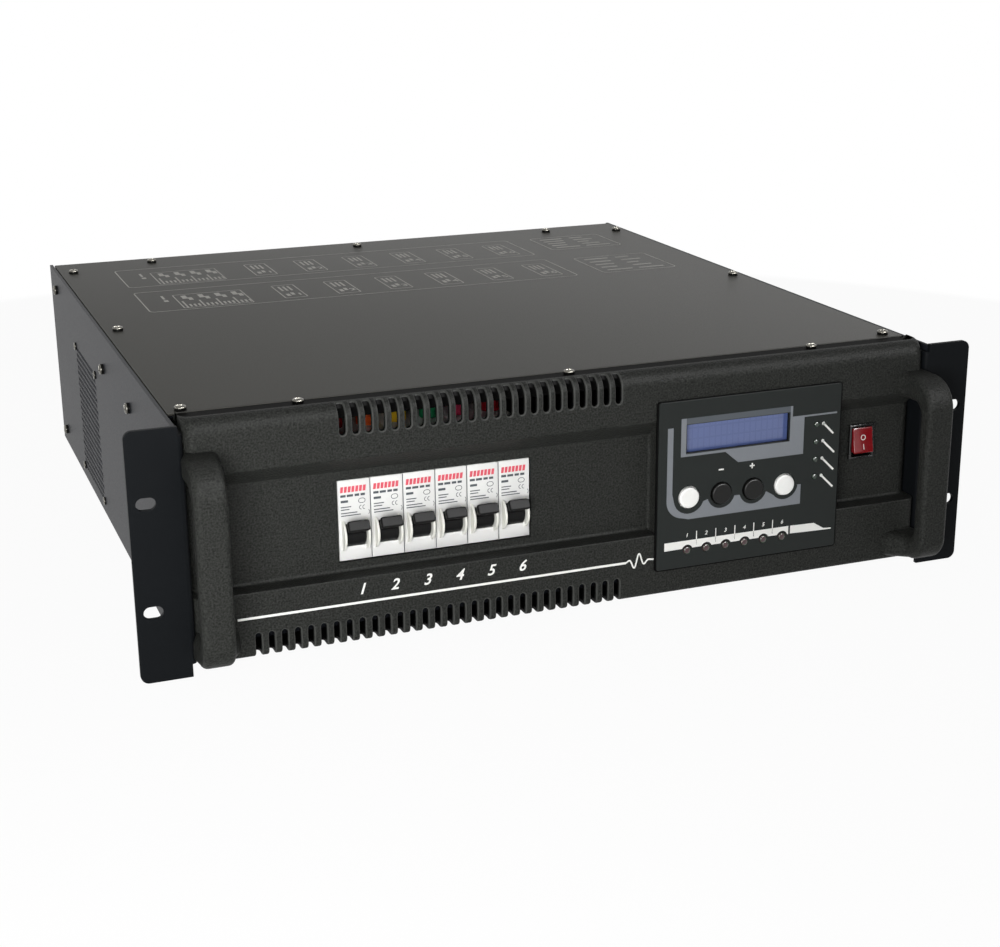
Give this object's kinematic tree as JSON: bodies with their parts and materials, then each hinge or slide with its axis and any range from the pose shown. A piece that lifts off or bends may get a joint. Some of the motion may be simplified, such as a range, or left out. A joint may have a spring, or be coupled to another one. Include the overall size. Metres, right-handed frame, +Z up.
{
  "type": "dimmer pack",
  "caption": "Rack-mount stage dimmer pack with a moulded fascia, pull handles, circuit breakers, a control panel, a rocker switch and a fan grille.",
  "frame": {"origin": "on the surface that the feet stand on, under the middle of the bounding box", "axes": "+X to the right seen from the front, +Y to the rear, +Z up"},
  "size_m": [0.4826, 0.4918, 0.1343],
  "materials": {
    "fascia_plastic": "fine moulded texture",
    "ear_paint": "smooth satin black",
    "side_paint": "fine textured blue grey",
    "cover_paint": "fine textured warm grey",
    "plate_paint": "smooth satin charcoal",
    "display_steel": "pressed, bright",
    "display_glass": "blue display behind clear glass",
    "board": "green laminate",
    "white_plastic": "satin",
    "black_plastic": "satin",
    "red_plastic": "polished",
    "zinc_steel": "passivated",
    "fan_plastic": "moulded",
    "alloy": "extruded",
    "core": "wound ring core, lacquered",
    "laminations": "stacked sheet",
    "wire_red": "insulated wire",
    "wire_orange": "insulated wire",
    "wire_yellow": "insulated wire",
    "wire_green": "insulated wire",
    "wire_pink": "insulated wire",
    "strip_plastic": "moulded",
    "foot_rubber": "matt"
  },
  "bodies": {
    "pack": {"base_tray": "side_paint", "left_side_panel": "side_paint", "right_side_panel": "side_paint", "rear_panel": "side_paint", "top_cover": "cover_paint", "front_rail": "ear_paint", "left_rack_ear": "ear_paint", "right_rack_ear": "ear_paint", "front_fascia": "fascia_plastic", "left_handle": "fascia_plastic", "right_handle": "fascia_plastic", "control_plate": "plate_paint", "display_frame": "display_steel", "display_glass": "display_glass", "control_board": "board", "rocker_housing": "black_plastic", "breaker_1": "white_plastic", "breaker_2": "white_plastic", "breaker_3": "white_plastic", "breaker_4": "white_plastic", "breaker_5": "white_plastic", "breaker_6": "white_plastic", "breaker_rail": "zinc_steel", "fan_frame": "fan_plastic", "heat_sink": "alloy", "choke_1": "core", "choke_2": "core", "choke_3": "core", "choke_4": "core", "choke_5": "core", "choke_6": "core", "power_board": "board", "transformer": "laminations", "supply_wire_1": "wire_red", "supply_wire_2": "wire_orange", "supply_wire_3": "wire_yellow", "supply_wire_4": "wire_green", "supply_wire_5": "wire_pink", "supply_wire_6": "wire_red", "mains_terminals": "strip_plastic", "output_terminals": "strip_plastic", "signal_input": "display_steel", "signal_output": "black_plastic", "cable_gland": "black_plastic", "front_left_foot": "foot_rubber", "front_right_foot": "foot_rubber", "rear_left_foot": "foot_rubber", "rear_right_foot": "foot_rubber"},
    "escape_button": {"escape_button": "white_plastic"},
    "down_button": {"down_button": "black_plastic"},
    "up_button": {"up_button": "black_plastic"},
    "enter_button": {"enter_button": "white_plastic"},
    "rocker": {"rocker": "red_plastic"},
    "breaker_toggle_1": {"breaker_toggle_1": "black_plastic"},
    "breaker_toggle_2": {"breaker_toggle_2": "black_plastic"},
    "breaker_toggle_3": {"breaker_toggle_3": "black_plastic"},
    "breaker_toggle_4": {"breaker_toggle_4": "black_plastic"},
    "breaker_toggle_5": {"breaker_toggle_5": "black_plastic"},
    "breaker_toggle_6": {"breaker_toggle_6": "black_plastic"},
    "fan_rotor": {"fan_rotor": "fan_plastic"}
  },
  "joints": [
    {"name": "escape_button_press", "type": "slide", "parent": "pack", "child": "escape_button", "axis": [0, 1, 0], "range_m": [0, 0.001], "stiffness_N_per_m": 400},
    {"name": "down_button_press", "type": "slide", "parent": "pack", "child": "down_button", "axis": [0, 1, 0], "range_m": [0, 0.001], "stiffness_N_per_m": 400},
    {"name": "up_button_press", "type": "slide", "parent": "pack", "child": "up_button", "axis": [0, 1, 0], "range_m": [0, 0.001], "stiffness_N_per_m": 400},
    {"name": "enter_button_press", "type": "slide", "parent": "pack", "child": "enter_button", "axis": [0, 1, 0], "range_m": [0, 0.001], "stiffness_N_per_m": 400},
    {"name": "rocker_tip", "type": "hinge", "parent": "pack", "child": "rocker", "pos_m": [0.1788, -0.20259, 0.0786], "axis": [1, 0, 0], "range_deg": [0, 18]},
    {"name": "breaker_toggle_1_throw", "type": "hinge", "parent": "pack", "child": "breaker_toggle_1", "pos_m": [-0.12371, -0.2015, 0.0622], "axis": [1, 0, 0], "range_deg": [0, 66]},
    {"name": "breaker_toggle_2_throw", "type": "hinge", "parent": "pack", "child": "breaker_toggle_2", "pos_m": [-0.10591, -0.2015, 0.0622], "axis": [1, 0, 0], "range_deg": [0, 66]},
    {"name": "breaker_toggle_3_throw", "type": "hinge", "parent": "pack", "child": "breaker_toggle_3", "pos_m": [-0.08811, -0.2015, 0.0622], "axis": [1, 0, 0], "range_deg": [0, 66]},
    {"name": "breaker_toggle_4_throw", "type": "hinge", "parent": "pack", "child": "breaker_toggle_4", "pos_m": [-0.07031, -0.2015, 0.0622], "axis": [1, 0, 0], "range_deg": [0, 66]},
    {"name": "breaker_toggle_5_throw", "type": "hinge", "parent": "pack", "child": "breaker_toggle_5", "pos_m": [-0.05251, -0.2015, 0.0622], "axis": [1, 0, 0], "range_deg": [0, 66]},
    {"name": "breaker_toggle_6_throw", "type": "hinge", "parent": "pack", "child": "breaker_toggle_6", "pos_m": [-0.03471, -0.2015, 0.0622], "axis": [1, 0, 0], "range_deg": [0, 66]},
    {"name": "fan_spin", "type": "hinge", "parent": "pack", "child": "fan_rotor", "pos_m": [-0.2022, 0.0839, 0.0568], "axis": [1, 0, 0], "continuous": true}
  ]
}
